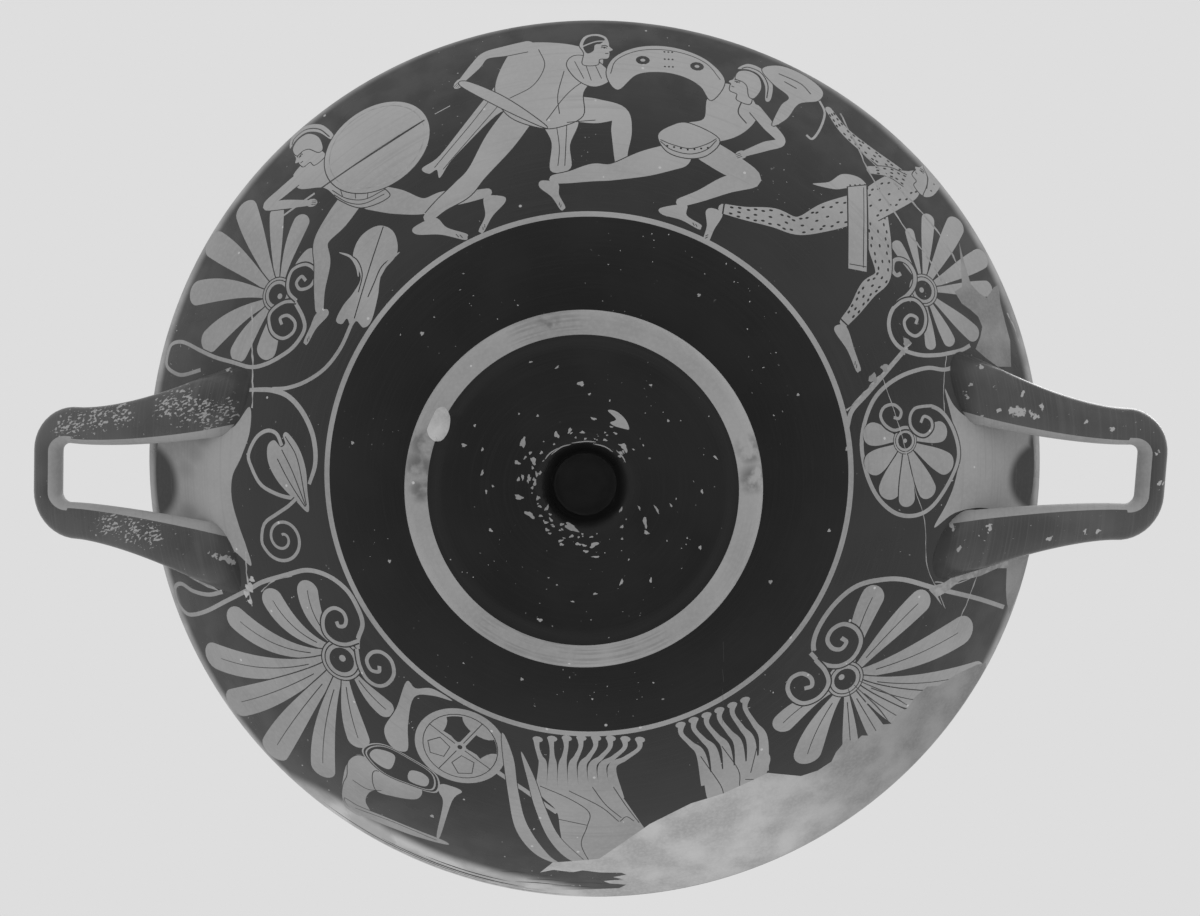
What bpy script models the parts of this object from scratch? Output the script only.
# Attic red-figured kylix, a broad two-handled drinking cup of fired clay.
# Bowl, stem, foot and handles were joined before firing, so the cup is one closed solid.
# Metres, +Z up. The cup stands on its foot. The origin is under the middle of the whole, at table level.
# One handle points along +X and the other along -X.

import math

import bpy
import bmesh
from mathutils import Vector

# Bowl
RIM_RADIUS = 0.1625
HEIGHT = 0.125
BOWL_BASE_HEIGHT = 0.041      # height at which the bowl's outer curve would cross the cup's axis
RIM_WALL = 0.0036
FLOOR_WALL = 0.0056
LIP_HEIGHT = 0.0022           # the rounded edge of the rim
RIM_OVAL = 0.0011             # the rim is this much longer than round along X, and shorter along Y

# Stem
STEM_RADIUS = 0.0165          # at the narrowest point
STEM_WAIST_HEIGHT = 0.0295
STEM_SPREAD_RADIUS = 0.043    # where the stem's curve leaves the bowl
STEM_BORE_RADIUS = 0.0108     # the hollow that runs up inside the stem
STEM_BORE_TOP = 0.0365
BORE_MOUTH_RADIUS = 0.0185
BORE_MOUTH_HEIGHT = 0.0142

# Foot
FOOT_RADIUS = 0.0615
FOOT_EDGE_HEIGHT = 0.0112
FOOT_EDGE_ROUND = 0.0042      # how far in the rounded edge reaches
FOOT_SLOPE_RADIUS = 0.036     # where the foot's upper face starts to sweep up into the stem
FOOT_SLOPE_HEIGHT = 0.0148
RING_INNER_RADIUS = 0.0533    # inner edge of the flat ring that the cup stands on
RING_STEP = 0.0022            # height of the step inside the ring
STEP_LEAN = 0.4               # how far that step leans in, as a share of its height

# Handles, each set on by hand and so a little off square
HANDLE_WIDTH = 0.0118         # across the bar, at its outer end
HANDLE_THICKNESS = 0.0096
ARM_WIDTH = 0.0135            # across each arm, next to the corner
ROOT_WIDTH = 0.0245           # across each arm, where it is pressed onto the bowl
ROOT_THICKNESS = 0.0135
ROOT_DISTANCE = 0.131         # from the cup's axis to the middle of each root, along X
ROOT_SPREAD = 0.0288          # from the handle's middle line to each root
ARM_SPREAD = 0.0176           # the same, at the corners
CORNER_RADIUS = 0.0100
ROOT_CLEARANCE = 0.18         # share of the arm that its root takes to come clear of the wall
ARMS_CLOSE_BY = 0.95          # share of the arm over which the two arms draw together
ARM_EASE = 1.6                # how early the arms do most of that; 1 is a straight line
RISE_AT_ROOT = 6.0            # degrees that the handle climbs where it leaves the bowl
RISE_AT_END = 37.0
RIGHT_REACH = 0.2089          # from the cup's axis to the handle's outer end
RIGHT_SHIFT = -0.0010         # the handle's middle line along Y, at its roots
RIGHT_SKEW = 4.2              # degrees
LEFT_REACH = 0.2052
LEFT_SHIFT = 0.0048
LEFT_SKEW = -1.0
RIGHT_FRONT_LIFT = 0.0010     # how much higher than the rest each root was set on the bowl; front is +Y
RIGHT_BACK_LIFT = 0.0055
LEFT_FRONT_LIFT = 0.0045
LEFT_BACK_LIFT = 0.0005

# A chip out of the foot ring's inner edge
CHIP_ANGLE = 205.0            # degrees from +X, seen from above
CHIP_LENGTH = 0.0106
CHIP_WIDTH = 0.0058
CHIP_DEPTH = 0.0014

# Free curves, as shares of the span that each one bridges
STEM_PULL = 0.62
FOOT_PULL = 0.6
BORE_PULL = 0.6

# Facets
TURN_SEGMENTS = 72
SECTION_SIDES = 14
ARM_STEPS = 8
CORNER_STEPS = 5
BAR_STEPS = 3

# The handles' reaches differ, so the cup's axis lies a little to one side of the whole's middle
AXIS_X = (LEFT_REACH - RIGHT_REACH) / 2
ARC_TOP = HEIGHT - LIP_HEIGHT


def sphere_through(rim_radius, rim_height, base_height):
    """Radius and centre height of the sphere through a rim circle and a lowest point on the axis."""
    rise = rim_height - base_height
    radius = (rim_radius ** 2 + rise ** 2) / (2 * rise)
    return radius, base_height + radius


OUTER_SPHERE, OUTER_CENTRE = sphere_through(RIM_RADIUS, ARC_TOP, BOWL_BASE_HEIGHT)
INNER_SPHERE, INNER_CENTRE = sphere_through(RIM_RADIUS - RIM_WALL, ARC_TOP, BOWL_BASE_HEIGHT + FLOOR_WALL)


def bowl_arc(sphere, centre, from_radius, to_radius, steps):
    """Points (radius, height) along a bowl curve, from one distance off the axis to another."""
    start = math.asin(from_radius / sphere)
    end = math.asin(to_radius / sphere)
    points = []
    for step in range(steps + 1):
        angle = start + (end - start) * step / steps
        points.append((sphere * math.sin(angle), centre - sphere * math.cos(angle)))
    return points


def bezier(start, pull_start, pull_end, end, steps):
    """Points along a cubic curve, its own start left out."""
    points = []
    for step in range(1, steps + 1):
        t = step / steps
        weights = ((1 - t) ** 3, 3 * t * (1 - t) ** 2, 3 * t * t * (1 - t), t ** 3)
        corners = (start, pull_start, pull_end, end)
        points.append(tuple(sum(w * c[axis] for w, c in zip(weights, corners)) for axis in (0, 1)))
    return points


def lip(inner, outer):
    """The rounded edge of the rim, over the top from the inner face to the outer one."""
    crown = HEIGHT + LIP_HEIGHT / 3
    return bezier(inner, (inner[0] + LIP_HEIGHT / 2, crown), (outer[0] + LIP_HEIGHT / 5, crown), outer, 5)


def stem_outside(start):
    """From the bowl in to the stem's waist and out onto the foot."""
    slope = math.tan(math.asin(STEM_SPREAD_RADIUS / OUTER_SPHERE))
    run = (STEM_SPREAD_RADIUS - STEM_RADIUS) * STEM_PULL
    waist = (STEM_RADIUS, STEM_WAIST_HEIGHT)
    drop = STEM_WAIST_HEIGHT - FOOT_SLOPE_HEIGHT
    foot_top = (FOOT_SLOPE_RADIUS, FOOT_SLOPE_HEIGHT)
    foot_slope = (FOOT_SLOPE_HEIGHT - FOOT_EDGE_HEIGHT) / (FOOT_RADIUS - FOOT_EDGE_ROUND - FOOT_SLOPE_RADIUS)
    foot_run = (FOOT_SLOPE_RADIUS - STEM_RADIUS) * FOOT_PULL
    upper = bezier(start, (start[0] - run, start[1] - run * slope),
                   (STEM_RADIUS, STEM_WAIST_HEIGHT + (start[1] - STEM_WAIST_HEIGHT) * STEM_PULL), waist, 6)
    lower = bezier(waist, (STEM_RADIUS, STEM_WAIST_HEIGHT - drop * FOOT_PULL),
                   (foot_top[0] - foot_run, foot_top[1] + foot_run * foot_slope), foot_top, 6)
    return upper + lower


def foot_edge():
    """The foot's rounded edge, from its upper face down to the flat resting ring."""
    points = []
    for step in range(7):
        angle = math.pi / 2 - math.pi * step / 6
        points.append((FOOT_RADIUS - FOOT_EDGE_ROUND * (1 - math.cos(angle)),
                       FOOT_EDGE_HEIGHT / 2 * (1 + math.sin(angle))))
    return points


def underside():
    """From the resting ring's inner edge, up the hollow cone and the bore, to the axis."""
    step_in = RING_STEP * STEP_LEAN
    mouth = (BORE_MOUTH_RADIUS, BORE_MOUTH_HEIGHT)
    neck_height = (BORE_MOUTH_HEIGHT + STEM_BORE_TOP) / 2
    neck = (STEM_BORE_RADIUS, neck_height)
    top = (0.0, STEM_BORE_TOP)
    rim = [(RING_INNER_RADIUS, 0.0), (RING_INNER_RADIUS - step_in, RING_STEP), mouth]
    run = BORE_MOUTH_RADIUS - STEM_BORE_RADIUS
    rise = neck_height - BORE_MOUTH_HEIGHT
    cone_slope = (BORE_MOUTH_HEIGHT - RING_STEP) / (RING_INNER_RADIUS - step_in - BORE_MOUTH_RADIUS)
    throat = bezier(mouth, (mouth[0] - run * BORE_PULL, mouth[1] + run * BORE_PULL * cone_slope),
                    (STEM_BORE_RADIUS, neck_height - rise * BORE_PULL), neck, 3)
    dome = bezier(neck, (STEM_BORE_RADIUS, STEM_BORE_TOP),
                  (STEM_BORE_RADIUS * BORE_PULL, STEM_BORE_TOP), top, 4)
    return rim + throat + dome


def cup_profile():
    """The turned profile (radius, height), from the floor's middle over the rim to the bore's top."""
    inside = bowl_arc(INNER_SPHERE, INNER_CENTRE, 0.0, RIM_RADIUS - RIM_WALL, 8)
    outside = bowl_arc(OUTER_SPHERE, OUTER_CENTRE, RIM_RADIUS, STEM_SPREAD_RADIUS, 11)
    wall = inside + lip(inside[-1], outside[0]) + outside[1:]
    return wall + stem_outside(outside[-1]) + foot_edge() + underside()


def out_of_round(point):
    """The drying bowl went slightly oval, most of all at its rim."""
    share = min(max((point.z - STEM_WAIST_HEIGHT) / (HEIGHT - STEM_WAIST_HEIGHT), 0.0), 1.0)
    stretch = share * RIM_OVAL / RIM_RADIUS
    return Vector((point.x * (1 + stretch), point.y * (1 - stretch), point.z))


def turned_body(profile):
    """A closed turned mesh from a profile that starts and ends on the axis."""
    mesh = bmesh.new()
    rings = []
    for radius, height in profile[1:-1]:
        ring = []
        for segment in range(TURN_SEGMENTS):
            angle = 2 * math.pi * (segment + 0.5) / TURN_SEGMENTS
            point = Vector((radius * math.cos(angle), radius * math.sin(angle), height))
            ring.append(mesh.verts.new(out_of_round(point)))
        rings.append(ring)
    floor = mesh.verts.new((0, 0, profile[0][1]))
    bore_top = mesh.verts.new((0, 0, profile[-1][1]))
    for segment in range(TURN_SEGMENTS):
        after = (segment + 1) % TURN_SEGMENTS
        mesh.faces.new((floor, rings[0][segment], rings[0][after]))
        mesh.faces.new((bore_top, rings[-1][after], rings[-1][segment]))
        for inner, outer in zip(rings, rings[1:]):
            mesh.faces.new((inner[segment], outer[segment], outer[after], inner[after]))
    return mesh


def handle_slope(outward, reach):
    """How steeply the handle climbs: it leaves the bowl nearly level and curves up."""
    run = reach - HANDLE_WIDTH / 2 - ROOT_DISTANCE
    start = math.tan(math.radians(RISE_AT_ROOT))
    end = math.tan(math.radians(RISE_AT_END))
    return start + (end - start) * (outward - ROOT_DISTANCE) / run


def handle_height(outward, reach):
    """Height of the handle's middle line, from the middle of its root on the bowl's outer face."""
    root_height = OUTER_CENTRE - math.sqrt(OUTER_SPHERE ** 2 - ROOT_DISTANCE ** 2 - ROOT_SPREAD ** 2)
    mean_slope = (handle_slope(ROOT_DISTANCE, reach) + handle_slope(outward, reach)) / 2
    return root_height + mean_slope * (outward - ROOT_DISTANCE)


def handle_route(reach):
    """Points (outward, across, nearness to a root from 0 to 1) of one handle's middle line in plan."""
    end = reach - HANDLE_WIDTH / 2
    corner_start = end - CORNER_RADIUS
    arm = []
    shares = [0.0]
    for step in range(ARM_STEPS + 1):
        shares.append(ROOT_CLEARANCE + (1 - ROOT_CLEARANCE) * step / ARM_STEPS)
    for share in shares:
        outward = ROOT_DISTANCE + (corner_start - ROOT_DISTANCE) * share
        drawn = min(share / ARMS_CLOSE_BY, 1.0)
        closing = 1 - (1 - drawn) ** ARM_EASE
        across = ROOT_SPREAD + (ARM_SPREAD - ROOT_SPREAD) * closing
        arm.append((outward, across, 1 - share))
    corner = []
    for step in range(1, CORNER_STEPS + 1):
        angle = math.pi / 2 * step / CORNER_STEPS
        corner.append((corner_start + CORNER_RADIUS * math.sin(angle),
                       ARM_SPREAD - CORNER_RADIUS * (1 - math.cos(angle)), 0.0))
    half = arm + corner
    gap = ARM_SPREAD - CORNER_RADIUS
    bar = [(end, gap - 2 * gap * step / BAR_STEPS, 0.0) for step in range(1, BAR_STEPS)]
    mirrored = [(outward, -across, share) for outward, across, share in reversed(half)]
    return half + bar + mirrored


def section_size(outward, root_share, reach):
    """Width and thickness of the handle's oval section at one point of its route."""
    if root_share > 0:
        flare = root_share ** 1.6
        width = ARM_WIDTH + (ROOT_WIDTH - ARM_WIDTH) * flare
        thickness = HANDLE_THICKNESS + (ROOT_THICKNESS - HANDLE_THICKNESS) * flare
        return width, thickness
    corner_start = reach - HANDLE_WIDTH / 2 - CORNER_RADIUS
    turned = min(max((outward - corner_start) / CORNER_RADIUS, 0.0), 1.0)
    return ARM_WIDTH + (HANDLE_WIDTH - ARM_WIDTH) * turned, HANDLE_THICKNESS


def press_onto_wall(point, direction):
    """Moves a root point along its arm's own direction onto the middle of the bowl's wall."""
    centre = Vector((0, 0, OUTER_CENTRE))
    sphere = OUTER_SPHERE - (RIM_WALL + FLOOR_WALL) / 4
    offset = point - centre
    along = offset.dot(direction)
    reach = math.sqrt(along ** 2 - offset.length_squared + sphere ** 2)
    return point + direction * (reach - along)


def swung(vector, turn):
    """A vector turned about the vertical, by the angle at which its handle was set on."""
    return Vector((vector.x * math.cos(turn) - vector.y * math.sin(turn),
                   vector.x * math.sin(turn) + vector.y * math.cos(turn), vector.z))


def handle_body(side, reach, shift, skew, lifts):
    """One closed handle: an oval section swept along its route, its two roots sunk in the bowl's wall."""
    route = handle_route(reach)
    points = [Vector((outward, across, handle_height(outward, reach) + lifts[across < 0] * share ** 2))
              for outward, across, share in route]
    hinge = Vector((ROOT_DISTANCE, 0, 0))
    moved = hinge + Vector((0, shift, 0))
    turn = math.radians(skew)
    mesh = bmesh.new()
    rings = []
    for index, point in enumerate(points):
        before = points[max(index - 1, 0)]
        after = points[min(index + 1, len(points) - 1)]
        tangent = (after - before).normalized()
        climb = math.atan(handle_slope(point.x, reach))
        upward = Vector((-math.sin(climb), 0, math.cos(climb)))
        across = tangent.cross(upward).normalized()
        width, thickness = section_size(point.x, route[index][2], reach)
        ring = []
        for side_index in range(SECTION_SIDES):
            angle = 2 * math.pi * side_index / SECTION_SIDES
            local = across * (width / 2 * math.cos(angle)) + upward * (thickness / 2 * math.sin(angle))
            place = moved + swung(point + local - hinge, turn)
            if index == 0:
                place = press_onto_wall(place, swung(tangent, turn))
            if index == len(points) - 1:
                place = press_onto_wall(place, swung(-tangent, turn))
            ring.append(mesh.verts.new(out_of_round(Vector((place.x * side, place.y, place.z)))))
        rings.append(ring)
    for first, second in zip(rings, rings[1:]):
        for index in range(SECTION_SIDES):
            after = (index + 1) % SECTION_SIDES
            mesh.faces.new((first[index], first[after], second[after], second[index]))
    mesh.faces.new(rings[0])
    mesh.faces.new(rings[-1])
    return mesh


def chip_body():
    """A shallow broken lump, cut out of the resting ring's inner edge."""
    mesh = bmesh.new()
    bmesh.ops.create_icosphere(mesh, subdivisions=1, radius=1.0)
    turn = math.radians(CHIP_ANGLE)
    outward = Vector((math.cos(turn), math.sin(turn), 0))
    around = Vector((-math.sin(turn), math.cos(turn), 0))
    middle = outward * RING_INNER_RADIUS
    for vertex in mesh.verts:
        local = vertex.co.copy()
        vertex.co = (middle + outward * (local.x * CHIP_WIDTH / 2) + around * (local.y * CHIP_LENGTH / 2)
                     + Vector((0, 0, local.z * CHIP_DEPTH)))
    return mesh


def make_object(name, mesh, material=None):
    """An object from a closed mesh, with every face turned outwards."""
    bmesh.ops.recalc_face_normals(mesh, faces=mesh.faces)
    if mesh.calc_volume(signed=True) < 0:
        bmesh.ops.reverse_faces(mesh, faces=mesh.faces)
    data = bpy.data.meshes.new(name)
    mesh.to_mesh(data)
    mesh.free()
    made = bpy.data.objects.new(name, data)
    bpy.context.scene.collection.objects.link(made)
    if material is not None:
        data.materials.append(material)
    return made


def combine(target, tool, operation):
    """Joins a helper body to the cup, or cuts it away, and keeps the helper as a hidden guide."""
    step = target.modifiers.new(tool.name, "BOOLEAN")
    step.object = tool
    step.operation = operation
    step.solver = "EXACT"
    tool.hide_render = True
    tool.display_type = "WIRE"


def fired_clay():
    material = bpy.data.materials.new("black_gloss")
    material.use_nodes = True
    shader = material.node_tree.nodes["Principled BSDF"]
    shader.inputs["Base Color"].default_value = (0.016, 0.014, 0.013, 1)
    shader.inputs["Roughness"].default_value = 0.32
    shader.inputs["Metallic"].default_value = 0.0
    return material


def main():
    for existing in list(bpy.data.objects):
        bpy.data.objects.remove(existing, do_unlink=True)
    kylix = make_object("kylix", turned_body(cup_profile()), fired_clay())
    right = make_object("right_handle_guide", handle_body(1, RIGHT_REACH, RIGHT_SHIFT, RIGHT_SKEW,
                                                         (RIGHT_FRONT_LIFT, RIGHT_BACK_LIFT)))
    left = make_object("left_handle_guide", handle_body(-1, LEFT_REACH, LEFT_SHIFT, LEFT_SKEW,
                                                       (LEFT_FRONT_LIFT, LEFT_BACK_LIFT)))
    chip = make_object("ring_chip_guide", chip_body())
    combine(kylix, right, "UNION")
    combine(kylix, left, "UNION")
    combine(kylix, chip, "DIFFERENCE")
    for placed in (kylix, right, left, chip):
        placed.location.x = AXIS_X
    kylix.data.shade_smooth()
    kylix.data.set_sharp_from_angle(angle=math.radians(40))


main()
